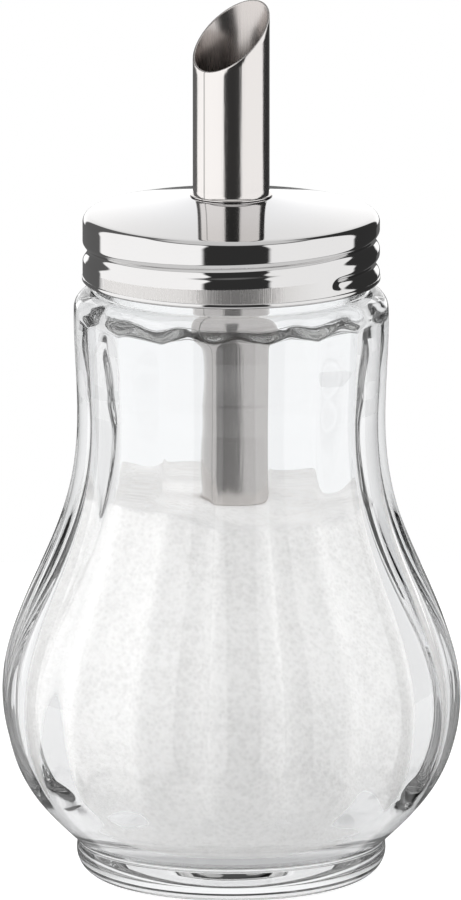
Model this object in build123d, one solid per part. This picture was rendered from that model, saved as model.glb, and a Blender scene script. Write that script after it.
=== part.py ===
"""Sugar dispenser: ribbed pear-shaped glass jar, steel screw cap with a rolled thread, slant-cut dosing tube.

Millimetres, +Z up, origin on the table under the middle of the foot. The front is -Y.
"""
from build123d import *
import os
from math import cos, hypot, pi, radians, sin, sqrt, tan

# ---- dosing tube ----
tube_diameter = 13.3
tube_wall = 0.4
tube_rise = 27.9                # middle of the slanted mouth above the crown of the cap
tube_floor_gap = 6.0            # lower end above the floor of the jar, so that sugar can run in
mouth_slant = 39.8              # degrees off horizontal
mouth_high_side = 46.6          # degrees from +X to the side where the mouth is highest
bead_reach = 0.55               # thin bead round the tube that rests on the crown
bead_height = 0.25

# ---- screw cap ----
cap_diameter = 51.5
cap_sheet = 0.45
cap_skirt_height = 11.5         # hem to the edge of the crown
cap_edge_round = 1.6
crown_slope = 10.2              # degrees, the shallow cone of the crown
hem_depth = 0.85                # the lower edge is turned in double, as thick as the glass thread leaves room for
hem_reach = 0.1
hem_bevel = 0.2
tube_hole_clearance = 0.05

# ---- thread, rolled into the cap and moulded on the neck ----
thread_pitch = 4.2
thread_above_hem = 6.15         # middle of the rolled groove at the front
groove_depth = 0.85
groove_radius = 1.9
groove_turns = (-319.0, 165.0)  # its two ends, degrees round from the front, rising to the right
ridge_turns = (-440.0, -5.0)    # the glass thread, half a pitch above the groove
thread_clearance = 0.18

# ---- glass jar: neck and shoulder ----
rim_height = 115.0
rim_round = 0.8
neck_room = 1.6                 # between cap wall and neck
neck_wall = 3.1
neck_height = 11.6
shoulder_step = 3.7             # how far the jar stands out beyond the neck
shoulder_round = 3.6
plain_band = 1.2                # plain wall between the ribs and the shoulder rounding

# ---- glass jar: outline over the crests of the ribs; leans are degrees off vertical ----
waist_draw_in = 0.6             # waist against shoulder
waist_height = 81.0
throat_diameter = 56.9
throat_height = 67.1
throat_lean = -14.6
bulb_diameter = 80.0
bulb_height = 32.0
upper_flank_diameter = 66.9
upper_flank_height = 53.9
upper_flank_lean = -24.5
lower_flank_diameter = 67.4
lower_flank_height = 13.4
lower_flank_lean = 40.0
crease_diameter = 53.2
crease_height = 6.2             # the groove between body and foot
crease_lean = 48.0

# ---- glass jar: ribs, wall, floor and foot ----
rib_count = 18
rib_radius = 12.0
rib_phase = -86.2               # degrees from +X to one crest, just right of the front
ribs_start = 7.5                # the ribs grow out of the plain body from here ...
ribs_full = 17.0                # ... to here
ribs_fade = 5.6                 # and run out over this height at the top
station_count = 17
bulb_wall = 4.5                 # thinnest where the bulb was blown out
throat_wall = 5.0
waist_wall = 5.4
floor_height = 8.0
floor_diameter = 36.0
foot_diameter = 53.8
foot_roll = 4.4                 # rounding under the foot
foot_ring_inner = 39.0          # inside edge of the flat ring that stands on the table
base_recess = 2.2

# ---- sealing ring on the rim, and the ring that locks the tube under the crown ----
seal_thickness = 1.55
seal_overhang = 0.1             # beyond the outside of the neck
seal_width = 2.5
seal_clearance = 0.12
lock_flange_width = 4.3
lock_collar_wall = 1.0
lock_collar_height = 4.0
lock_thickness = 0.9
lock_clearance = 0.05

# ---- worked out from the above ----
tube_radius = tube_diameter / 2
cap_radius = cap_diameter / 2
neck_radius = cap_radius - cap_sheet - neck_room
bore_radius = neck_radius - neck_wall
slope = tan(radians(crown_slope))
crown_drop = cap_sheet / cos(radians(crown_slope))
seal_outer = neck_radius + seal_overhang
seal_inner = seal_outer - seal_width
seal_middle = (seal_outer + seal_inner) / 2
crown_height = rim_height + seal_thickness + 2 * seal_clearance + crown_drop + (seal_middle - tube_radius) * slope
shoulder_radius = neck_radius + shoulder_step
shoulder_top = rim_height - neck_height
ribs_top = shoulder_top - shoulder_round - plain_band
half_rib = pi / rib_count


def crown_top(radius):
    """Height of the crown's upper face."""
    return crown_height - (radius - tube_radius) * slope


def crown_under(radius):
    return crown_top(radius) - crown_drop


hem_height = crown_top(cap_radius) - cap_skirt_height


def turned(*edges):
    """A closed outline, drawn as radius and height, turned about the axis of the jar."""
    return revolve(Plane.XZ * make_face(Wire(edges)), Axis.Z)


def leaning(lean):
    """Upward direction of a wall that leans outwards by so many degrees."""
    return (sin(radians(lean)), cos(radians(lean)))


def inside(radius, height, wall, lean=0.0):
    """The point of the inner wall that faces an outer point."""
    return (radius - wall * cos(radians(lean)), height + wall * sin(radians(lean)))


# ---- glass jar ----
def valley(crest):
    """Radius of the groove where two neighbouring ribs meet."""
    centre = crest - rib_radius
    return centre * cos(half_rib) + sqrt(rib_radius**2 - (centre * sin(half_rib)) ** 2)


def smooth(share):
    share = min(max(share, 0.0), 1.0)
    return share * share * (3 - 2 * share)


def rib_strength(height):
    growing = (height - ribs_start) / (ribs_full - ribs_start)
    fading = (ribs_top - height) / ribs_fade
    return smooth(growing) * smooth(fading)


def polar(radius, angle):
    return (radius * cos(angle), radius * sin(angle))


def ribbed_section(crest, height):
    """A ring of round ribs, or a plain circle where they have run out."""
    low = crest - rib_strength(height) * (crest - valley(crest))
    ribs = []
    for i in range(rib_count):
        middle = radians(rib_phase) + 2 * half_rib * i
        left = polar(low, middle - half_rib)
        right = polar(low, middle + half_rib)
        ribs.append(ThreePointArc(left, polar(crest, middle), right))
    return Plane.XY.offset(height) * make_face(Wire(ribs))


def ribbed_body():
    outline = Spline(
        (crease_diameter / 2, crease_height),
        (lower_flank_diameter / 2, lower_flank_height),
        (bulb_diameter / 2, bulb_height),
        (upper_flank_diameter / 2, upper_flank_height),
        (throat_diameter / 2, throat_height),
        (shoulder_radius - waist_draw_in, waist_height),
        (shoulder_radius, ribs_top),
        tangents=[leaning(a) for a in (crease_lean, lower_flank_lean, 0, upper_flank_lean, throat_lean, 0, 0)],
    )
    shares = [(1 - cos(pi * i / (station_count - 1))) / 2 for i in range(station_count)]
    stations = [outline @ share for share in shares]
    return loft([ribbed_section(point.X, point.Y) for point in stations])


def foot():
    """A plain disc rolled under at its edge, hollowed below by a shallow dome."""
    radius = foot_diameter / 2
    ring_outer = radius - foot_roll
    disc = turned(
        Line((0, crease_height), (radius, crease_height)),
        Line((radius, crease_height), (radius, foot_roll)),
        CenterArc((ring_outer, foot_roll), foot_roll, -90, 90),
        Line((ring_outer, 0), (0, 0)),
        Line((0, 0), (0, crease_height)),
    )
    dome_radius = ((foot_ring_inner / 2) ** 2 + base_recess**2) / (2 * base_recess)
    return disc - Pos(0, 0, base_recess - dome_radius) * Sphere(dome_radius)


def shoulder_and_neck():
    arc_radius = shoulder_radius - shoulder_round
    return turned(
        Line((0, ribs_top), (shoulder_radius, ribs_top)),
        Line((shoulder_radius, ribs_top), (shoulder_radius, shoulder_top - shoulder_round)),
        CenterArc((arc_radius, shoulder_top - shoulder_round), shoulder_round, 0, 90),
        Line((arc_radius, shoulder_top), (neck_radius, shoulder_top)),
        Line((neck_radius, shoulder_top), (neck_radius, rim_height - rim_round)),
        CenterArc((neck_radius - rim_round, rim_height - rim_round), rim_round, 0, 90),
        Line((neck_radius - rim_round, rim_height), (0, rim_height)),
        Line((0, rim_height), (0, ribs_top)),
    )


def cavity():
    floor_edge = (floor_diameter / 2, floor_height)
    shoulder = inside(shoulder_radius, ribs_top, waist_wall)
    bore_foot = (bore_radius, shoulder_top)
    bore_top = (bore_radius, rim_height)
    wall_inside = Spline(
        floor_edge,
        inside(lower_flank_diameter / 2, lower_flank_height, bulb_wall, lower_flank_lean),
        inside(bulb_diameter / 2, bulb_height, bulb_wall),
        inside(upper_flank_diameter / 2, upper_flank_height, throat_wall, upper_flank_lean),
        inside(throat_diameter / 2, throat_height, throat_wall, throat_lean),
        inside(shoulder_radius - waist_draw_in, waist_height, waist_wall),
        shoulder,
        tangents=[(1, 0)] + [leaning(a) for a in (lower_flank_lean, 0, upper_flank_lean, throat_lean, 0, 0)],
    )
    return turned(
        Line((0, floor_height), floor_edge),
        wall_inside,
        Spline(shoulder, bore_foot, tangents=[(0, 1), (0, 1)]),
        Line(bore_foot, bore_top),
        Line(bore_top, (0, rim_height)),
        Line((0, rim_height), (0, floor_height)),
    )


def thread_path(turns, radius, front_height):
    """A right-handed helix between two angles, counted in degrees round from the front."""
    start, end = turns
    helix = Helix(thread_pitch, thread_pitch * (end - start) / 360, radius)
    return Pos(0, 0, front_height + thread_pitch * start / 360) * Rot(0, 0, start - 90) * helix


def round_thread(path, radius):
    """A round rod along the path, with ball ends."""
    rod = sweep(Plane(origin=path @ 0, z_dir=path % 0) * Circle(radius), path, is_frenet=True)
    return rod + Pos(path @ 0) * Sphere(radius) + Pos(path @ 1) * Sphere(radius)


groove_line = cap_radius - groove_depth + groove_radius
thread_front = hem_height + thread_above_hem
bead_radius = groove_radius + cap_sheet
ridge_radius = hypot(groove_line - neck_radius, thread_pitch / 2) - bead_radius - thread_clearance
hem_inner = neck_radius + ridge_radius + thread_clearance


def glass_jar():
    ridge = round_thread(thread_path(ridge_turns, neck_radius, thread_front + thread_pitch / 2), ridge_radius)
    return ribbed_body() + foot() + shoulder_and_neck() - cavity() + ridge


# ---- cap ----
def rounded_can(radius, low, top, rounding):
    """A round solid with a conical top, its upper edge rounded."""
    half = make_face(Polyline((0, low), (radius, low), (radius, top(radius)), (0, top(0)), close=True))
    corner = half.vertices().sort_by_distance((radius, top(radius)))[0]
    return revolve(Plane.XZ * fillet(corner, rounding), Axis.Z)


def ring(inner, outer, low, height, bevel):
    """A plain ring with its outer edges bevelled."""
    half = make_face(
        Polyline(
            (inner, low),
            (outer - bevel, low),
            (outer, low + bevel),
            (outer, low + height - bevel),
            (outer - bevel, low + height),
            (inner, low + height),
            close=True,
        )
    )
    return revolve(Plane.XZ * half, Axis.Z)


def screw_cap():
    """Drawn from sheet: the thread shows as a groove outside and as a bead inside."""
    inner_radius = cap_radius - cap_sheet
    outer = rounded_can(cap_radius, hem_height, crown_top, cap_edge_round)
    inner = rounded_can(inner_radius, hem_height, crown_under, cap_edge_round - cap_sheet)
    groove = thread_path(groove_turns, groove_line, thread_front)
    shell = outer - round_thread(groove, groove_radius) - (inner - round_thread(groove, bead_radius))
    hem = ring(hem_inner, cap_radius + hem_reach, hem_height, hem_depth, hem_bevel)
    hole = Pos(0, 0, crown_height) * Cylinder(tube_radius + tube_hole_clearance, cap_skirt_height)
    return shell + hem - hole


# ---- tube and rings ----
def dosing_tube():
    low = floor_height + tube_floor_gap
    mouth_middle = crown_height + tube_rise
    length = mouth_middle + tube_diameter - low
    from_below = (Align.CENTER, Align.CENTER, Align.MIN)
    tube = Pos(0, 0, low) * Cylinder(tube_radius, length, align=from_below)
    bore = Pos(0, 0, low) * Cylinder(tube_radius - tube_wall, length, align=from_below)
    bead = ring(0, tube_radius + bead_reach, crown_height, bead_height, bead_height / 3)
    mouth = Pos(0, 0, mouth_middle) * Rot(0, 0, mouth_high_side) * Rot(0, -mouth_slant, 0)
    above_mouth = mouth * Box(4 * tube_diameter, 4 * tube_diameter, 2 * tube_diameter, align=from_below)
    return tube + bead - bore - above_mouth


def tube_lock_ring():
    inner = tube_radius + lock_clearance
    collar = inner + lock_collar_wall
    flange = inner + lock_flange_width

    def top(radius):
        return crown_under(radius) - lock_clearance

    return turned(
        *Polyline(
            (inner, top(inner)),
            (flange, top(flange)),
            (flange, top(flange) - lock_thickness),
            (collar, top(collar) - lock_thickness),
            (collar, top(inner) - lock_collar_height),
            (inner, top(inner) - lock_collar_height),
            close=True,
        ).edges()
    )


def sealing_ring():
    low = rim_height + seal_clearance
    return turned(
        *Polyline(
            (seal_inner, low),
            (seal_outer, low),
            (seal_outer, crown_under(seal_outer) - seal_clearance),
            (seal_inner, crown_under(seal_inner) - seal_clearance),
            close=True,
        ).edges()
    )


os.makedirs("parts", exist_ok=True)
nodes = {
    "glass_jar": glass_jar,
    "screw_cap": screw_cap,
    "dosing_tube": dosing_tube,
    "tube_lock_ring": tube_lock_ring,
    "sealing_ring": sealing_ring,
}
for name, build in nodes.items():
    export_step(build(), f"parts/{name}.step")
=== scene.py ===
import bpy
import math
import numpy as np
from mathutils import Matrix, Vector
from mathutils.geometry import interpolate_bezier


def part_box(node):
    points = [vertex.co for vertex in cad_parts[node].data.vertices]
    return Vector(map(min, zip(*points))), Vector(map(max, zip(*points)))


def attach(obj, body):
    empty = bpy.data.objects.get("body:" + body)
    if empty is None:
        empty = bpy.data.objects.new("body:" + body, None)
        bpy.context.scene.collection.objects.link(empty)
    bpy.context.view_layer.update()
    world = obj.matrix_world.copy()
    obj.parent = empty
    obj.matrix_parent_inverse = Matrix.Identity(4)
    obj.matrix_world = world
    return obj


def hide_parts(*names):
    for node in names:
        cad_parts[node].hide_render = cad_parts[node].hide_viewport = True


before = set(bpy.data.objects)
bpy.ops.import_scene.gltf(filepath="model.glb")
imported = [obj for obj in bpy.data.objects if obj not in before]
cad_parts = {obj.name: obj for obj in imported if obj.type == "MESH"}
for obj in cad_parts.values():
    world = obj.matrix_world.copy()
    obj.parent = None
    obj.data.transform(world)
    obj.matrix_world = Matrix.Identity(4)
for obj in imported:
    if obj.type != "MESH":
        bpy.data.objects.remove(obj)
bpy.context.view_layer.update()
mm = 0.001
print("frame loaded:", ", ".join(sorted(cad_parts)))


# shader maths: sums and products of sockets add their own Math nodes
class Link:
    def __init__(self, finish, socket):
        self.finish = finish
        self.socket = socket

    def math(self, operation, *others):
        return self.finish.node("ShaderNodeMath", {"operation": operation}, dict(enumerate((self, *others))))

    def flipped(self, operation, other):
        return self.finish.node("ShaderNodeMath", {"operation": operation}, {0: other, 1: self})

    def __add__(self, other):
        return self.math("ADD", other)

    def __sub__(self, other):
        return self.math("SUBTRACT", other)

    def __mul__(self, other):
        return self.math("MULTIPLY", other)

    def __pow__(self, other):
        return self.math("POWER", other)

    def __rsub__(self, other):
        return self.flipped("SUBTRACT", other)

    def __rpow__(self, other):
        return self.flipped("POWER", other)

    __radd__ = __add__
    __rmul__ = __mul__

    def between(self, low, high):   # 0 at low, 1 at high, smooth
        return self.finish.node(
            "ShaderNodeMapRange", {"interpolation_type": "SMOOTHSTEP"},
            {"Value": self, "From Min": low, "From Max": high},
        )

    def about(self, middle, halfWidth):   # 0 below the middle, 1 above it
        return self.between(middle - halfWidth, middle + halfWidth)

    def above(self, floor):
        return self.math("MAXIMUM", floor)

    def below(self, ceiling):
        return self.math("MINIMUM", ceiling)


class Finish:
    def __init__(self, tree):
        self.tree = tree
        tree.nodes.clear()

    # any node: its settings come first, then the values or links of its sockets
    def node(self, kind, settings=None, inputs=None, output=0):
        made = self.tree.nodes.new(kind)
        for name, value in (settings or {}).items():
            setattr(made, name, value)
        for name, value in (inputs or {}).items():
            if isinstance(value, Link):
                self.tree.links.new(value.socket, made.inputs[name])
            else:
                made.inputs[name].default_value = value
        return Link(self, made.outputs[output]) if made.outputs else None

    def mix(self, share, first, second):   # colours
        return self.node(
            "ShaderNodeMix", {"data_type": "RGBA"}, {"Factor": share, 6: first, 7: second}, output=2
        )

    def lamp(self, share):   # dark at 0, white at 1
        return self.mix(share, (0, 0, 0, 1), (1, 1, 1, 1))

    def noise(self, where, scale, detail=2.0, roughness=0.5):
        return self.node(
            "ShaderNodeTexNoise", None,
            {"Vector": where, "Scale": scale, "Detail": detail, "Roughness": roughness},
        )

    def grains(self, where, scale):
        return self.node("ShaderNodeTexVoronoi", {"feature": "F1"}, {"Vector": where, "Scale": scale})

    def place(self):   # the surface point in metres, at rest
        return self.node("ShaderNodeTexCoord", output=3)

    def facing(self):   # which way the surface looks, at rest
        return self.node("ShaderNodeTexCoord", output=1)

    def lightPath(self, output):
        return self.node("ShaderNodeLightPath", output=output)

    def stretched(self, where, upright):   # below 1 draws a pattern out upwards, above 1 round the piece
        return self.node("ShaderNodeMapping", None, {"Vector": where, "Scale": (1.0, 1.0, upright)})

    def axes(self, where):
        split = self.node("ShaderNodeSeparateXYZ", None, {0: where})
        return [Link(self, output) for output in split.socket.node.outputs]

    def bump(self, height, distance, strength=1.0):
        return self.node(
            "ShaderNodeBump", None, {"Height": height, "Distance": distance, "Strength": strength}
        )

    def surface(self, **inputs):   # the main shader, by the names of its sockets
        named = {name.replace("_", " "): value for name, value in inputs.items()}
        return self.node("ShaderNodeBsdfPrincipled", None, named)

    def output(self, shader, kind="ShaderNodeOutputMaterial"):
        self.node(kind, None, {"Surface": shader})


def turnOf(x, y):   # degrees round from the front, towards the right
    return x.math("ARCTAN2", y * -1) * (180 / math.pi)


def fromAxis(x, y):
    return (x * x + y * y) ** 0.5


def over(level, share, other):   # one level laid over another
    return level * (1 - share) + share * other


def material(name):
    made = bpy.data.materials.new(name)
    made.use_nodes = True
    return made, Finish(made.node_tree)


# meshes turned about the axis; outlines are in millimetres, as (radius, height)
def addMesh(name, points, faces, finish):
    mesh = bpy.data.meshes.new(name)
    mesh.from_pydata((np.array(points) * mm).tolist(), [], faces)
    mesh.validate()
    mesh.shade_smooth()
    mesh.materials.append(finish)
    made = bpy.data.objects.new(name, mesh)
    bpy.context.scene.collection.objects.link(made)
    return made


def addPiece(name, points, faces, finish, body, replaced=None, slot=None):
    piece = addMesh(name, points, faces, finish)
    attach(piece, body)
    if replaced:
        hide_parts(replaced)


def turnedMesh(rings, first=None, last=None, loop=False):   # the ends close on a middle point, a loop on itself
    count = len(rings[0])
    points = [tuple(p) for ring in rings for p in ring]
    faces = []
    for row in range(len(rings) if loop else len(rings) - 1):
        here, there = row * count, (row + 1) % len(rings) * count
        for i in range(count):
            j = (i + 1) % count
            faces.append((here + i, here + j, there + j, there + i))
    for middle, ring, flip in ((first, 0, True), (last, len(rings) - 1, False)):
        if middle is not None:
            points.append((0, 0, middle))
            for i in range(count):
                a, b = ring * count + i, ring * count + (i + 1) % count
                faces.append((b, a, len(points) - 1) if flip else (a, b, len(points) - 1))
    return points, faces


def roundTurns(count):   # degrees round from the front, towards the right
    return np.arange(count) * 360 / count


def ringsOf(radii, heights, turns):   # a radius or a height may change round its ring
    turn = np.radians(turns)
    radii = np.asarray(radii, float).reshape(len(heights), -1) * np.ones(len(turn))
    heights = np.asarray(heights, float).reshape(len(heights), -1) * np.ones(len(turn))
    return np.stack((radii * np.sin(turn), -radii * np.cos(turn), heights), axis=-1)


def ringOf(radius, height, turns):
    return ringsOf([radius], [height], turns)[0]


def eased(value, low, high):   # 0 at low, 1 at high
    t = np.clip((value - low) / (high - low), 0, 1)
    return t * t * (3 - 2 * t)


def fading(value, start, end, width):   # 1 between start and end, fading inside them over the width
    return eased(value, start, start + width) * (1 - eased(value, end - width, end))


def straight(start, end, spacing):   # leaves out the end point
    steps = max(1, round(math.dist(start, end) / spacing))
    return [tuple(np.array(start) + (np.array(end) - start) * i / steps) for i in range(steps)]


def arc(middle, radius, fromAngle, toAngle, steps):
    angles = np.radians(np.linspace(fromAngle, toAngle, steps + 1))
    return [(middle[0] + radius * math.cos(a), middle[1] + radius * math.sin(a)) for a in angles]


def flowing(knots, spacing):   # a smooth curve through (radius, height, lean from upright)
    points = []
    for (r0, z0, lean0), (r1, z1, lean1) in zip(knots, knots[1:]):
        start, end = Vector((r0, z0)), Vector((r1, z1))
        chord = (end - start).length
        ahead, back = (Vector((math.sin(math.radians(a)), math.cos(math.radians(a)))) for a in (lean0, lean1))
        steps = max(2, round(chord / spacing))
        curve = interpolate_bezier(start, start + ahead * chord / 3, end - back * chord / 3, end, steps + 1)
        points += [tuple(p) for p in curve[:-1]]
    return points


# the glass jar: ribbed bulb, plain shoulder and a threaded neck
jar = {
    "bodyKnots": (   # radius, height, lean
        (26.6, 6.2, 48),
        (33.7, 13.4, 40),
        (40.0, 32.0, 0),
        (33.45, 53.9, -24.5),
        (28.45, 67.1, -14.6),
        (26.8, 81.0, 0),
        (27.4, 99.1, 0),
    ),
    "bodyWalls": (5.1, 5.1, 5.2, 5.0, 5.4),   # at the knots between the ends
    "ribCount": 18,
    "ribRadius": 12.0,
    "firstRib": 3.8,
    "columnsPerRib": 24,
    "grooveRounding": (1.1, 0.3),   # softer in the blown bulb than up at the waist
    "grooveSharpens": (42.0, 72.0),
    "grooveBlend": 0.12,
    "ribFeet": (12.7, 21.0),        # the ribs rise out of the round bottom over this height
    "ribHeads": (97.5, 101.3),
    "shoulderRound": 3.6,
    "neckRadius": 23.7,
    "neckHeight": 11.6,
    "neckStart": 0.15,              # first row of the neck above the shoulder
    "boreRadius": 20.6,
    "boreFoot": 0.9,                # where the bore ends, below the foot of the neck
    "neckStep": (                   # where the cavity draws in to the bore
        (21.9, 87.5, 3),
        (22.8, 98.2, -6),
        (21.8, 99.55, -58),
        (20.7, 100.85, -28),
    ),
    "waveReach": 0.35,              # the melted glass there wanders up and down
    "waveSpread": 3.4,
    "waves": ((2, 0.6), (5, 2.1), (9, 4.0), (16, 1.0)),   # how many go round, and where they start
    "rimRound": 0.8,
    "floorRadius": 18.0,
    "floorHeight": 8.0,
    "footRadius": 26.9,
    "footRoll": 4.4,
    "footRingInner": 19.5,
    "baseRecess": 2.2,
    "threadTurns": (-440, -5),
    "threadFade": 6,
    "threadFront": 113.42,
    "threadPitch": 4.2,
    "threadRadius": 1.2,
    "recessRows": 12,
    "cornerRows": 14,
    "rimRows": 6,
    "rowSpacing": 0.42,
    "shoulderSpacing": 0.2,
    "neckSpacing": 0.22,
    "innerSpacing": 0.9,
    "stepSpacing": 0.4,
    "floorSpacing": 2,
}
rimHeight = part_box("glass_jar")[1].z / mm
neckFoot = rimHeight - jar["neckHeight"]
boreFoot = neckFoot - jar["boreFoot"]


def ribTurns():   # columns stand closer together at the grooves
    share = np.sin(np.linspace(-math.pi / 2, math.pi / 2, jar["columnsPerRib"] + 1))[:-1] / 2
    step = 360 / jar["ribCount"]
    return np.concatenate([jar["firstRib"] + step * (k + share) for k in range(jar["ribCount"])])


def ribbed(radius, height, turns):   # the radius round a ring, with the ribs as arcs and the grooves between them
    half = 180 / jar["ribCount"]
    heart = radius - jar["ribRadius"]

    def ribAt(off):
        return heart * np.cos(off) + np.sqrt(jar["ribRadius"] ** 2 - (heart * np.sin(off)) ** 2)

    offset = np.abs((turns - jar["firstRib"] + half) % (2 * half) - half)
    soft, sharp = jar["grooveRounding"]
    rounding = np.degrees((soft + (sharp - soft) * eased(height, *jar["grooveSharpens"])) / radius)
    fromGroove = np.sqrt((half - offset) ** 2 + rounding ** 2)
    rib = ribAt(np.radians(np.clip(half - fromGroove, 0, half)))
    valley = ribAt(math.radians(half))
    strength = eased(height, *jar["ribFeet"]) * (1 - eased(height, *jar["ribHeads"]))
    plain = radius - (radius - valley) * strength
    blend = jar["grooveBlend"]
    return (rib + plain + np.sqrt((rib - plain) ** 2 + blend ** 2)) / 2 - blend * (1 - strength) / 2


def threadRise(height, turns):   # how far the round glass thread stands out of the neck
    rise = np.zeros_like(turns)
    for lap in (-2, -1, 0):
        turn = (turns + 360) % 360 + 360 * lap
        radius = jar["threadRadius"] * fading(turn, *jar["threadTurns"], jar["threadFade"])
        away = height - jar["threadFront"] - jar["threadPitch"] * turn / 360
        rise = np.maximum(rise, np.sqrt(np.clip(radius ** 2 - away ** 2, 0, None)))
    return rise


def innerKnots():
    knots = [(jar["floorRadius"], jar["floorHeight"], 90)]
    for (radius, height, lean), wall in zip(jar["bodyKnots"][1:-1], jar["bodyWalls"]):
        a = math.radians(lean)
        knots.append((radius - wall * math.cos(a), height + wall * math.sin(a), lean))
    return knots + [*jar["neckStep"], (jar["boreRadius"], boreFoot, 0)]


def jarOutline():   # foot, body and shoulder, neck, and the inside from the rim down
    roll = jar["footRoll"]
    crease = math.degrees(math.asin((jar["bodyKnots"][0][1] - roll) / roll))
    recess = [
        (jar["footRingInner"] * (1 - t), jar["baseRecess"] * (1 - (1 - t) ** 2))
        for t in np.linspace(0.96, 0, jar["recessRows"])
    ]
    foot = recess + arc((jar["footRadius"] - roll, roll), roll, -90, crease, jar["cornerRows"])[:-1]

    body = flowing(jar["bodyKnots"], jar["rowSpacing"])
    shoulderRadius, bodyTop, _ = jar["bodyKnots"][-1]
    bend = jar["shoulderRound"]
    body += straight((shoulderRadius, bodyTop), (shoulderRadius, neckFoot - bend), jar["shoulderSpacing"])
    body += arc((shoulderRadius - bend, neckFoot - bend), bend, 0, 90, jar["cornerRows"])

    neckRadius, boreRadius, rimRound = jar["neckRadius"], jar["boreRadius"], jar["rimRound"]
    rimFoot = rimHeight - rimRound
    neck = straight((neckRadius, neckFoot + jar["neckStart"]), (neckRadius, rimFoot), jar["neckSpacing"])

    spacing = jar["innerSpacing"]
    inside = arc((neckRadius - rimRound, rimFoot), rimRound, 0, 90, jar["rimRows"])
    inside += arc((boreRadius + rimRound, rimFoot), rimRound, 90, 180, jar["rimRows"])
    inside += straight((boreRadius, rimFoot - spacing), (boreRadius, neckFoot), spacing)
    knots = innerKnots()
    stepStart = -len(jar["neckStep"])
    cavity = flowing(knots[:stepStart], spacing) + flowing(knots[stepStart - 1:], jar["stepSpacing"])
    inside += [(boreRadius, boreFoot)] + cavity[::-1]
    edge, height = jar["floorSpacing"] / 2, jar["floorHeight"]
    inside += straight((jar["floorRadius"] - edge, height), (edge, height), jar["floorSpacing"])
    return foot, body, neck, inside


def buildJar(finish):
    turns = ribTurns()
    foot, body, neck, inside = jarOutline()
    ribsLow, ribsHigh = jar["ribFeet"][0] - 1, jar["ribHeads"][1] + 1
    rings = [ringOf(radius, height, turns) for radius, height in foot]
    for radius, height in body:
        rings.append(ringOf(ribbed(radius, height, turns) if ribsLow < height < ribsHigh else radius, height, turns))
    for radius, height in neck:
        rings.append(ringOf(radius + threadRise(height, turns), height, turns))
    wander = sum(np.sin(np.radians(turns) * count + start) for count, start in jar["waves"]) / 2
    _, waveHeight, _ = jar["neckStep"][2]
    for radius, height in inside:
        near = max(0, 1 - abs(height - waveHeight) / jar["waveSpread"]) * (radius >= jar["boreRadius"])
        rings.append(ringOf(radius, height + jar["waveReach"] * near * wander, turns))
    points, faces = turnedMesh(rings, first=jar["baseRecess"], last=jar["floorHeight"])
    addPiece("jar_glass", points, faces, finish, "jar", "glass_jar", "clear_glass")


# the drawn steel cap
cap = {
    "crownSlope": 10.2,
    "sheet": 0.45,
    "edgeRound": 1.6,
    "holeGap": 0.05,
    "hemReach": 0.1,
    "hemDepth": 0.85,
    "hemBevel": 0.2,
    "hemThickness": 0.7,
    "grooveDepth": 0.8,
    "grooveHalfWidth": 1.75,
    "grooveTurns": (-319, 165),
    "grooveFront": 111.32,
    "grooveFade": 8.0,
    "turnCount": 480,
    "edgeRows": 12,
    "rowSpacing": 0.16,
    "crownSpacing": 0.6,
    "underSpacing": 0.8,
}
capLow, capHigh = (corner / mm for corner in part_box("screw_cap"))
capRadius = capHigh.x - cap["hemReach"]
crownFall = math.tan(math.radians(cap["crownSlope"]))


def capGroove(height, turns):   # the rolled thread, how far it runs in
    depth = np.zeros(len(turns))
    for lap in (-1, 0):
        turn = (turns + 180) % 360 - 180 + 360 * lap
        fade = fading(turn, *cap["grooveTurns"], cap["grooveFade"])
        middle = cap["grooveFront"] + jar["threadPitch"] * turn / 360
        away = np.clip(np.abs(height - middle) / cap["grooveHalfWidth"], 0, 1)
        depth = np.maximum(depth, cap["grooveDepth"] * fade * (1 + np.cos(math.pi * away)) / 2)
    return depth


def buildCap(finish):
    turns = roundTurns(cap["turnCount"])
    holeRadius = dosingTube["radius"] + cap["holeGap"]
    hemTop = capLow.z + cap["hemDepth"]

    def canOutline(inset):   # a wall and its rounded edge, outside or one sheet further in
        radius, rounding = capRadius - inset, cap["edgeRound"] - inset
        lean = 90 - cap["crownSlope"]
        drop = rounding * math.tan(math.radians(lean / 2))   # from the sharp corner to where the wall starts to bend
        corner = capHigh.z - (radius - holeRadius) * crownFall - inset
        wall = straight((radius, hemTop), (radius, corner - drop), cap["rowSpacing"])
        return wall, arc((radius - rounding, corner - drop), rounding, 0, lean, cap["edgeRows"])

    outerWall, outerEdge = canOutline(0)
    innerWall, innerEdge = canOutline(cap["sheet"])
    top = straight(outerEdge[-1], (holeRadius, capHigh.z), cap["crownSpacing"])[1:]
    under = straight((holeRadius, capHigh.z - cap["sheet"]), innerEdge[-1], cap["underSpacing"])
    bevel, reach, hemInner = cap["hemBevel"], capHigh.x, capRadius - cap["hemThickness"]
    hem = [
        (reach - bevel, capLow.z),
        (reach, capLow.z + bevel),
        (reach, hemTop - bevel),
        (reach - bevel / 2, hemTop),
    ]
    rows = [(p, False) for p in hem] + [(p, True) for p in outerWall]   # grooved or not
    rows += [(p, False) for p in outerEdge + top + [(holeRadius, capHigh.z)] + under + innerEdge[::-1]]
    rows += [(p, True) for p in innerWall[::-1]] + [((hemInner, hemTop), False), ((hemInner, capLow.z), False)]
    radii = [p[0] - capGroove(p[1], turns) * grooved for p, grooved in rows]
    heights = [p[1] for p, _ in rows]
    points, faces = turnedMesh(ringsOf(radii, heights, turns), loop=True)
    addPiece("cap_steel", points, faces, finish, "lid", "screw_cap", "polished_steel")


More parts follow.
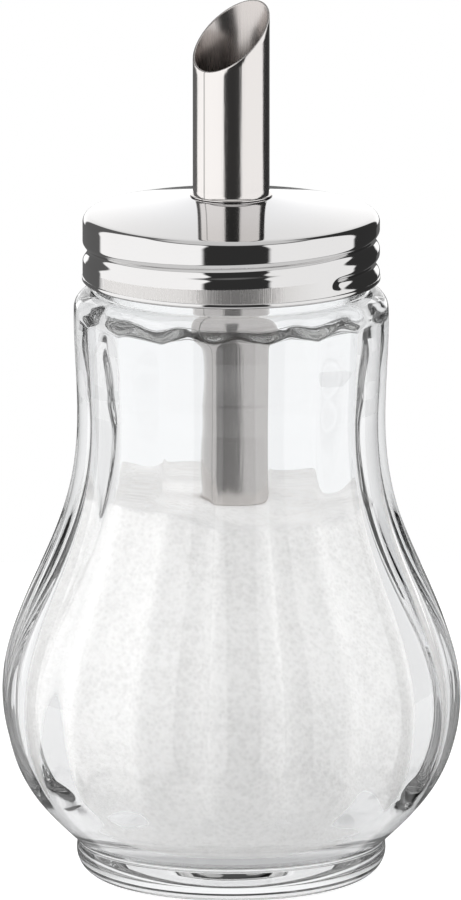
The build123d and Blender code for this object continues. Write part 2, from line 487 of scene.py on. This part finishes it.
# the dosing tube with its slanted mouth
dosingTube = {
    "radius": 6.65,
    "wall": 0.4,
    "rise": 27.9,
    "mouthSlant": 39.8,
    "mouthHighSide": 46.6,      # degrees from the right, towards the back
    "beadReach": 0.55,
    "beadHeight": 0.24,
    "turnCount": 160,
    "beadRows": 9,
    "outerRows": 23,
    "innerRows": 30,
    "lowSpacing": 3,
}
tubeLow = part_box("dosing_tube")[0] / mm


def buildTube(finish):
    turns = roundTurns(dosingTube["turnCount"])
    outer, lip = dosingTube["radius"], dosingTube["wall"] / 2
    inner, lipMiddle = outer - dosingTube["wall"], outer - lip
    slant = math.tan(math.radians(dosingTube["mouthSlant"]))
    towardsHigh = np.cos(np.radians(turns - 90 - dosingTube["mouthHighSide"]))

    def mouth(radius):
        return capHigh.z + dosingTube["rise"] + slant * radius * towardsHigh

    bead, thick = capHigh.z, dosingTube["beadHeight"]
    beadMiddle = (outer + dosingTube["beadReach"] - thick / 2, bead + thick / 2)
    outline = [(outer - lip / 3, tubeLow.z), (outer, tubeLow.z + lip / 3)]
    outline += straight((outer, tubeLow.z + 1), (outer, bead - 0.05), dosingTube["lowSpacing"])
    outline += [(outer, bead)] + arc(beadMiddle, thick / 2, -90, 90, dosingTube["beadRows"] - 1)
    outline += [(outer, bead + thick)]
    radii = [radius for radius, _ in outline]
    heights = [np.full(len(turns), height) for _, height in outline]
    for share in np.linspace(0, 1, dosingTube["outerRows"] + 1)[1:]:
        radii.append(outer)
        heights.append(bead + thick + (mouth(outer) - lip / 2 - bead - thick) * share)
    for a in np.radians((30, 60, 90, 120, 150)):   # the rounded lip
        radii.append(lipMiddle + lip * math.cos(a))
        heights.append(mouth(radii[-1]) - lip / 2 + lip / 2 * math.sin(a))
    for share in np.linspace(0, 1, dosingTube["innerRows"]):
        radii.append(inner)
        heights.append((mouth(inner) - lip / 2) * (1 - share) + tubeLow.z * share)
    points, faces = turnedMesh(ringsOf(radii, heights, turns), loop=True)
    addPiece("tube_steel_pipe", points, faces, finish, "lid", "dosing_tube", "tube_steel")


# the sugar, heaped a little unevenly round the tube
sugar = {
    "level": 67.5,
    "tilt": 1.6,
    "tiltTowards": (-0.6, 1.0),     # to the left and the back
    "tiltOver": 24,
    "heaps": 1.1,
    "heapWaves": ((0.11, 0.19, 0.4), (-0.23, 0.16, 2.0), (0.37, -0.31, 4.4), (0.52, 0.61, 1.1)),
    "glassGap": 0.08,
    "tubeGap": 0.15,
    "edgeShare": 0.06,              # the heaps die away this near the glass
    "turnCount": 240,
    "rowSpacing": 0.8,
    "floorRows": 8,
    "wallRows": 90,
    "topRows": 25,
    "wellRows": 15,
}


def sugarTop(radius, turns):
    turn = np.radians(turns)
    x, y = radius * np.sin(turn), -radius * np.cos(turn)
    waves = sum(np.sin(x * a + y * b + c) / (k + 1.5) for k, (a, b, c) in enumerate(sugar["heapWaves"]))
    alongX, alongY = sugar["tiltTowards"]
    return sugar["level"] + sugar["tilt"] * (x * alongX + y * alongY) / sugar["tiltOver"] + sugar["heaps"] * waves


def buildSugar(finish):
    turns = roundTurns(sugar["turnCount"])
    wall = flowing(innerKnots(), sugar["rowSpacing"])
    wallRadius = np.array([radius for radius, _ in wall]) - sugar["glassGap"]
    wallHeight = np.array([height for _, height in wall])
    floorTop = jar["floorHeight"] + sugar["glassGap"]
    edge = sugarTop(float(np.interp(sugar["level"], wallHeight, wallRadius)), turns)
    rings = [
        ringOf(jar["floorRadius"] * share, floorTop, turns) for share in np.linspace(0.05, 1, sugar["floorRows"])
    ]
    for share in np.linspace(0, 1, sugar["wallRows"] + 1)[1:]:
        heights = floorTop + (edge - floorTop) * share
        rings.append(ringOf(np.interp(heights, wallHeight, wallRadius), heights, turns))
    rim = np.interp(edge, wallHeight, wallRadius)
    well = dosingTube["radius"] + sugar["tubeGap"]
    for share in np.linspace(0, 1, sugar["topRows"] + 1)[1:]:
        radii = rim + (well - rim) * share
        free = eased(share, 0, sugar["edgeShare"])
        rings.append(ringOf(radii, over(edge, free, sugarTop(radii, turns)), turns))
    top, bottom = sugarTop(well, turns), tubeLow.z - sugar["tubeGap"]
    for share in np.linspace(0, 1, sugar["wellRows"] + 1)[1:]:
        rings.append(ringOf(well, top + (bottom - top) * share, turns))
    points, faces = turnedMesh(rings, first=floorTop, last=bottom)
    addPiece("sugar_fill", points, faces, finish, "jar")


# the two rings under the cap
def softened(corners, rounding, steps=3):   # a closed outline with its corners rounded
    points = []
    for i, corner in enumerate(corners):
        before, here, after = Vector(corners[i - 1]), Vector(corner), Vector(corners[(i + 1) % len(corners)])
        into, out = (before - here).normalized() * rounding, (after - here).normalized() * rounding
        curve = interpolate_bezier(here + into, here + into / 3, here + out / 3, here + out, steps)
        points += [tuple(p) for p in curve]
    return points


def addRing(name, corners, sizes, *named):
    radii, heights = zip(*softened(corners, sizes["edgeRound"]))
    points, faces = turnedMesh(ringsOf(radii, heights, roundTurns(sizes["turnCount"])), loop=True)
    addPiece(name, points, faces, *named)


lockRing = {
    "tubeGap": 0.05,
    "thickness": 0.9,
    "collarWall": 1.0,
    "collarFillet": 0.2,
    "edgeRound": 0.2,
    "turnCount": 120,
}


def buildLockRing(finish):
    low, high = (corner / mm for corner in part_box("tube_lock_ring"))
    inner = dosingTube["radius"] + lockRing["tubeGap"]
    collar = inner + lockRing["collarWall"]
    flangeTop = high.z - (high.x - inner) * crownFall
    addRing("lock_ring_steel", [
        (inner, low.z),
        (collar, low.z),
        (collar, high.z - lockRing["thickness"] - lockRing["collarFillet"]),
        (high.x, flangeTop - lockRing["thickness"]),
        (high.x, flangeTop),
        (inner, high.z),
    ], lockRing, finish, "lock_ring", "tube_lock_ring", "plain_steel")


sealRing = {
    "width": 2.5,
    "edgeRound": 0.2,
    "turnCount": 120,
}


def buildSealRing(finish):
    low, high = (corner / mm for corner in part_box("sealing_ring"))
    inner = high.x - sealRing["width"]
    addRing("seal_rubber_ring", [
        (inner, low.z),
        (high.x, low.z),
        (high.x, high.z - sealRing["width"] * crownFall),
        (inner, high.z),
    ], sealRing, finish, "seal", "sealing_ring", "seal_rubber")


# finishes: scales are in waves for each metre, depths in metres
glassFinish = {
    "colour": (0.975, 0.982, 0.988, 1),
    "bending": 1.5,
    "waveScale": 42.0,
    "waveDepth": 0.0004,
    "waveStrength": 0.35,
    "seedScale": 900.0,
    "seedRoughness": 0.03,
}


def clearGlass():
    made, f = material("clearGlass")
    place = f.place()
    waves = f.noise(place, glassFinish["waveScale"])
    seeds = f.noise(place, glassFinish["seedScale"], 1.0)
    f.output(f.surface(
        Base_Color=glassFinish["colour"],
        Roughness=(seeds - 0.5).above(0) * glassFinish["seedRoughness"],
        IOR=glassFinish["bending"],
        Transmission_Weight=1.0,
        Normal=f.bump(waves, glassFinish["waveDepth"], glassFinish["waveStrength"]),
    ))
    return made


sugarFinish = {
    "shaded": (0.86, 0.845, 0.83, 1),
    "bright": (1.0, 0.985, 0.97, 1),
    "facetScale": 1150.0,
    "grainScale": 1900.0,
    "clumpScale": 170.0,
    "paintedTopGlow": 0.07,               # painted light: the up-facing sugar glows, standing in for light that sinks in from above and comes back out
    "depth": 0.0002,
}


def sugarGrains():
    made, f = material("sugarGrains")
    place = f.place()
    facets = f.grains(place, sugarFinish["facetScale"])
    grains = f.grains(place, sugarFinish["grainScale"])
    clumps = f.noise(place, sugarFinish["clumpScale"], 4.0, 0.65)
    shade = (clumps * 0.6 + facets * 0.4 + grains * 0.25).between(0.28, 0.85)
    upward = f.axes(f.node("ShaderNodeNewGeometry", output="Normal"))[2]
    f.output(f.surface(
        Base_Color=f.mix(shade, sugarFinish["shaded"], sugarFinish["bright"]),
        Roughness=0.55 + clumps * 0.25,
        Specular_IOR_Level=0.45,
        # painted light: an emission that brightens the sugar's upward faces
        Emission_Color=f.lamp(upward.between(0.5, 0.9)),
        Emission_Strength=sugarFinish["paintedTopGlow"],
        Normal=f.bump(grains * 0.6 + clumps * 1.4, sugarFinish["depth"], 0.8),
    ))
    return made


capFinish = {
    "nearTube": (0.69, 0.69, 0.70, 1),
    "paintedShadeEdge": (0.61, 0.602, 0.598, 1),
    "paintedShadeSpan": (0.010, 0.024),        # radius over which painted shade darkens the crown towards its edge
    "brushedDark": (0.56, 0.545, 0.535, 1),
    "brushedPale": (0.64, 0.625, 0.615, 1),
    "brushedHeight": 0.0034,            # the skirt is brushed up to here, and climbs with the thread
    "brushedClimb": 0.000009,           # for each degree
    "brushedLeft": (-64.0, -54.0),      # the brushing shows from here ...
    "brushedRight": (14.0, 40.0),       # ... and dies away here
    "brushedDepth": 0.00006,
    "streakScale": 3400.0,
    "hazeScale": 120.0,
    "rubScale": 420.0,
    # painted shade: the inside of the cap, which lies in shadow under the skirt
    "paintedShadeInside": (0.28, 0.275, 0.27, 1),
    "insideRoughness": 0.3,
}


def polishedSteel():
    made, f = material("polishedSteel")
    place = f.place()
    x, y, z = f.axes(place)
    turn = turnOf(x, y)
    brushedTop = capLow.z * mm + capFinish["brushedHeight"] + turn * capFinish["brushedClimb"]
    aboveHem = (z - (capLow.z + cap["hemDepth"]) * mm).between(-0.0001, 0.0001)
    brushedSide = turn.between(*capFinish["brushedLeft"]) * (1 - turn.between(*capFinish["brushedRight"]))
    brushed = (brushedTop - z).between(-0.00008, 0.00008) * aboveHem * brushedSide
    streaks = f.noise(f.stretched(place, 0.03), capFinish["streakScale"], 2.0, 0.6)
    haze = f.noise(place, capFinish["hazeScale"], 3.0)
    rub = f.noise(f.stretched(place, 6.0), capFinish["rubScale"], 3.0, 0.6)
    outward = fromAxis(x, y).between(*capFinish["paintedShadeSpan"])
    nx, ny, nz = f.axes(f.facing())
    inside = 1 - (nx * x + ny * y + nz * 0.02).between(-0.001, 0.001)   # faces the axis, or down
    # painted shade: the polished crown is darkened from the tube out towards its edge
    polished = f.mix(outward * 0.8 + haze * 0.2, capFinish["nearTube"], capFinish["paintedShadeEdge"])
    outer = f.mix(brushed, polished, f.mix(streaks, capFinish["brushedDark"], capFinish["brushedPale"]))
    f.output(f.surface(
        # painted shade: faces inside the cap take a dark colour
        Base_Color=f.mix(inside, outer, capFinish["paintedShadeInside"]),
        Metallic=1.0 - brushed * 0.3,
        Roughness=0.035 + rub * 0.03 + brushed * (0.14 + streaks * 0.14) + inside * capFinish["insideRoughness"],
        Normal=f.bump(streaks * brushed, capFinish["brushedDepth"], 0.5),
    ))
    return made


tubeFinish = {
    "outside": (0.66, 0.635, 0.62, 1),
    "inside": (0.5, 0.47, 0.455, 1),
    "seam": (0.35, 0.34, 0.33, 1),
    "seamTurn": -44.6,
    "seamWidth": (0.5, 2.0),
    "streakScale": 2200.0,
    "streakDepth": 0.00003,
}


def drawnTubeSteel():
    made, f = material("drawnTubeSteel")
    place = f.place()
    x, y, z = f.axes(place)
    streaks = f.noise(f.stretched(place, 0.02), tubeFinish["streakScale"], 3.0, 0.6)
    seam = 1 - (turnOf(x, y) - tubeFinish["seamTurn"]).math("ABSOLUTE").between(*tubeFinish["seamWidth"])
    innerRadius = dosingTube["radius"] - dosingTube["wall"]
    inside = 1 - fromAxis(x, y).between((innerRadius + 0.05) * mm, (dosingTube["radius"] - 0.1) * mm)
    skin = f.mix(inside, tubeFinish["outside"], tubeFinish["inside"])
    f.output(f.surface(
        Base_Color=f.mix(seam, skin, tubeFinish["seam"]),
        Metallic=1.0,
        Roughness=0.09 + streaks * 0.12 + seam * 0.2 + inside * 0.12,
        Normal=f.bump(streaks - seam * 0.6, tubeFinish["streakDepth"], 0.5),
    ))
    return made


lockFinish = {
    "dark": (0.62, 0.62, 0.62, 1),
    "pale": (0.72, 0.72, 0.72, 1),
    "turningScale": 900.0,
    "turningDepth": 0.00004,
}


def plainSteel():
    made, f = material("plainSteel")
    turning = f.noise(f.stretched(f.place(), 8.0), lockFinish["turningScale"], 3.0, 0.6)
    f.output(f.surface(
        Base_Color=f.mix(turning, lockFinish["dark"], lockFinish["pale"]),
        Metallic=1.0,
        Roughness=0.28 + turning * 0.15,
        Normal=f.bump(turning, lockFinish["turningDepth"], 0.4),
    ))
    return made


sealFinish = {
    "dark": (0.74, 0.74, 0.72, 1),
    "pale": (0.82, 0.82, 0.80, 1),
    "mottleScale": 700.0,
    "mottleDepth": 0.00005,
}


def sealRubber():
    made, f = material("sealRubber")
    mottle = f.noise(f.place(), sealFinish["mottleScale"], 4.0, 0.6)
    f.output(f.surface(
        Base_Color=f.mix(mottle, sealFinish["dark"], sealFinish["pale"]),
        Roughness=0.5 + mottle * 0.2,
        Normal=f.bump(mottle, sealFinish["mottleDepth"], 0.4),
    ))
    return made


buildJar(clearGlass())
print("jar made")
buildSugar(sugarGrains())
print("sugar poured")
buildCap(polishedSteel())
buildTube(drawnTubeSteel())
print("cap and tube made")
buildLockRing(plainSteel())
buildSealRing(sealRubber())
print("rings made")

# two tall soft boxes, a pale backdrop and a pale floor; turns are in degrees round from the front
studio = {
    "boxLevel": 1.42,
    "boxes": ((-72.5, 50.5, 1.0), (70.5, 40.5, 0.89)),   # middle, half width and strength
    "boxLow": -33.0,
    "boxHigh": 55.0,
    "boxCorner": 12.0,
    "edgeWidth": 2.0,
    "backdropLevel": 1.45,
    "backdropFall": 0.45,           # how much darker it is high up
    "backdropFalls": (-10.0, 50.0),
    "backdropEdge": 155.0,
    "backdropFoot": -5.0,
    "darkLevel": 0.042,
    "leftRearLevel": 0.15,
    "leftRearEdge": -122.0,
    "throughLevel": 0.98,           # what shows through the clear glass
    "throughFall": 0.2,
    "throughFalls": (20.0, 45.0),   # round from the back
    "throughGap": (-20.0, 28.5),    # the gap between the lights in front
    "throughDark": 0.2,
    "trapped": (2.5, 5.0),          # light that bounced about inside the glass comes out weaker
    "trappedLevel": 0.07,
    "frontFill": 0.38,              # what the sugar gets from the gap in front
    "sideFill": 0.85,
    "sideFillFrom": (40.0, 60.0),
    "boxFill": 1.66,
    "throughFill": 0.95,
    "floorFill": 1.12,
    "floorGlow": 0.92,
    "floorColours": ((0.84, 0.84, 0.84, 1), (0.86, 0.86, 0.86, 1)),
    "floorRadius": 250,             # millimetres
    "floorEmission": 0.55,
    "floorThrough": 0.32,
    "ceilingLevel": 0.85,
    "ceilingBlend": 12.0,
    "lightBounces": 32,             # light has to run far inside thick glass
    "glossyBounces": 18,
    "distance": 3.5,
    "elevation": 12.2,
    "viewHeight": 0.15618,
    "aim": (-0.00012, 0.0, 0.07488),
}


def softBox(turn, rise, middle, halfWidth):
    corner = studio["boxCorner"]
    halfHeight = (studio["boxHigh"] - studio["boxLow"]) / 2
    centre = (studio["boxHigh"] + studio["boxLow"]) / 2
    across = ((turn - middle).math("ABSOLUTE") - (halfWidth - corner)).above(0.0)
    up = ((rise - centre).math("ABSOLUTE") - (halfHeight - corner)).above(0.0)
    return 1 - fromAxis(across, up).about(corner, studio["edgeWidth"])


def mirroredLevel(turn, rise):   # what the polished metal mirrors between the boxes
    leftRear = 1 - turn.about(studio["leftRearEdge"], 1)
    dark = over(studio["darkLevel"], leftRear, studio["leftRearLevel"])
    backdrop = studio["backdropLevel"] - rise.between(*studio["backdropFalls"]) * studio["backdropFall"]
    backdrop = over(backdrop, 1 - rise.about(studio["backdropFoot"], 1), studio["leftRearLevel"])
    return over(dark, turn.math("ABSOLUTE").about(studio["backdropEdge"], studio["edgeWidth"]), backdrop)


def fillLevel(turn):   # what lights the sugar between the boxes
    fromFront = turn.math("ABSOLUTE")
    fill = over(studio["frontFill"], fromFront.between(*studio["sideFillFrom"]), studio["sideFill"])
    return over(fill, fromFront.about(studio["backdropEdge"], studio["edgeWidth"]), studio["throughFill"])


def throughLevel(f, turn):   # what shows through the glass
    fromBack = 180 - turn.math("ABSOLUTE")
    through = studio["throughLevel"] - fromBack.between(*studio["throughFalls"]) * studio["throughFall"]
    gapLeft, gapRight = studio["throughGap"]
    gap = turn.about(gapLeft, studio["edgeWidth"]) * (1 - turn.about(gapRight, studio["edgeWidth"]))
    through = over(through, gap, studio["throughDark"])
    return over(through, f.lightPath("Glossy Depth").between(*studio["trapped"]), studio["trappedLevel"])


def lightStudio():
    world = bpy.data.worlds.new("studio")
    bpy.context.scene.world = world
    world.use_nodes = True
    f = Finish(world.node_tree)
    x, y, z = f.axes(f.node("ShaderNodeTexCoord"))
    turn = turnOf(x, y)
    rise = z.math("ARCSINE") * (180 / math.pi)
    boxes = [(softBox(turn, rise, middle, halfWidth), strength) for middle, halfWidth, strength in studio["boxes"]]
    inBoxes = sum(box for box, _ in boxes)
    boxLight = sum(box * strength for box, strength in boxes)
    high = rise.between(studio["boxHigh"], studio["boxHigh"] + studio["ceilingBlend"])
    low = 1 - rise.between(studio["boxLow"] - studio["edgeWidth"] * 3, studio["boxLow"])

    outward = f.lightPath("Is Transmission Ray")
    scattered = f.lightPath("Diffuse Depth").below(1.0)
    lit = over(mirroredLevel(turn, rise), outward, fillLevel(turn))
    lit = lit * (1 - inBoxes) + boxLight * over(studio["boxLevel"], outward, studio["boxFill"])
    lit = over(lit, high, studio["ceilingLevel"])
    lit = over(lit, low, over(studio["floorGlow"], outward, studio["floorFill"]))
    level = over(lit, outward * (1 - scattered), throughLevel(f, turn))
    level = over(level, f.lightPath("Is Camera Ray"), 1.0)
    shining = f.node("ShaderNodeBackground", None, {"Color": (1, 1, 1, 1), "Strength": level})
    f.output(shining, "ShaderNodeOutputWorld")


def layFloor():
    made, f = material("paleFloor")
    scattered = f.lightPath("Diffuse Depth").below(1.0)
    through = (f.lightPath("Is Transmission Ray") - scattered) * studio["floorThrough"]
    f.output(f.surface(
        Base_Color=f.mix(f.noise(f.place(), 60.0), *studio["floorColours"]),
        Roughness=0.8,
        Specular_IOR_Level=0.0,
        Emission_Color=f.lamp(f.lightPath("Is Camera Ray").above(through)),
        Emission_Strength=studio["floorEmission"],
    ))
    points, faces = turnedMesh([ringOf(studio["floorRadius"], 0, roundTurns(96))], last=0)
    floor = addMesh("floor", points, faces, made)
    floor.visible_glossy = False


def setCamera():
    camera = bpy.data.objects.new("camera", bpy.data.cameras.new("camera"))
    bpy.context.scene.collection.objects.link(camera)
    lens = camera.data
    lens.sensor_fit = "VERTICAL"
    lens.sensor_height = 36.0
    lens.lens = lens.sensor_height * studio["distance"] / studio["viewHeight"]
    rise = math.radians(studio["elevation"])
    away = Vector((0, -math.cos(rise), math.sin(rise)))
    camera.location = Vector(studio["aim"]) + away * studio["distance"]
    camera.rotation_euler = away.to_track_quat("Z", "Y").to_euler()
    bpy.context.scene.camera = camera


paths = bpy.context.scene.cycles
paths.blur_glossy = 0.0
paths.max_bounces = studio["lightBounces"]
paths.glossy_bounces = studio["glossyBounces"]
paths.transmission_bounces = studio["lightBounces"]
lightStudio()
layFloor()
setCamera()
bpy.context.scene.view_settings.view_transform = "Standard"
print("studio lit")
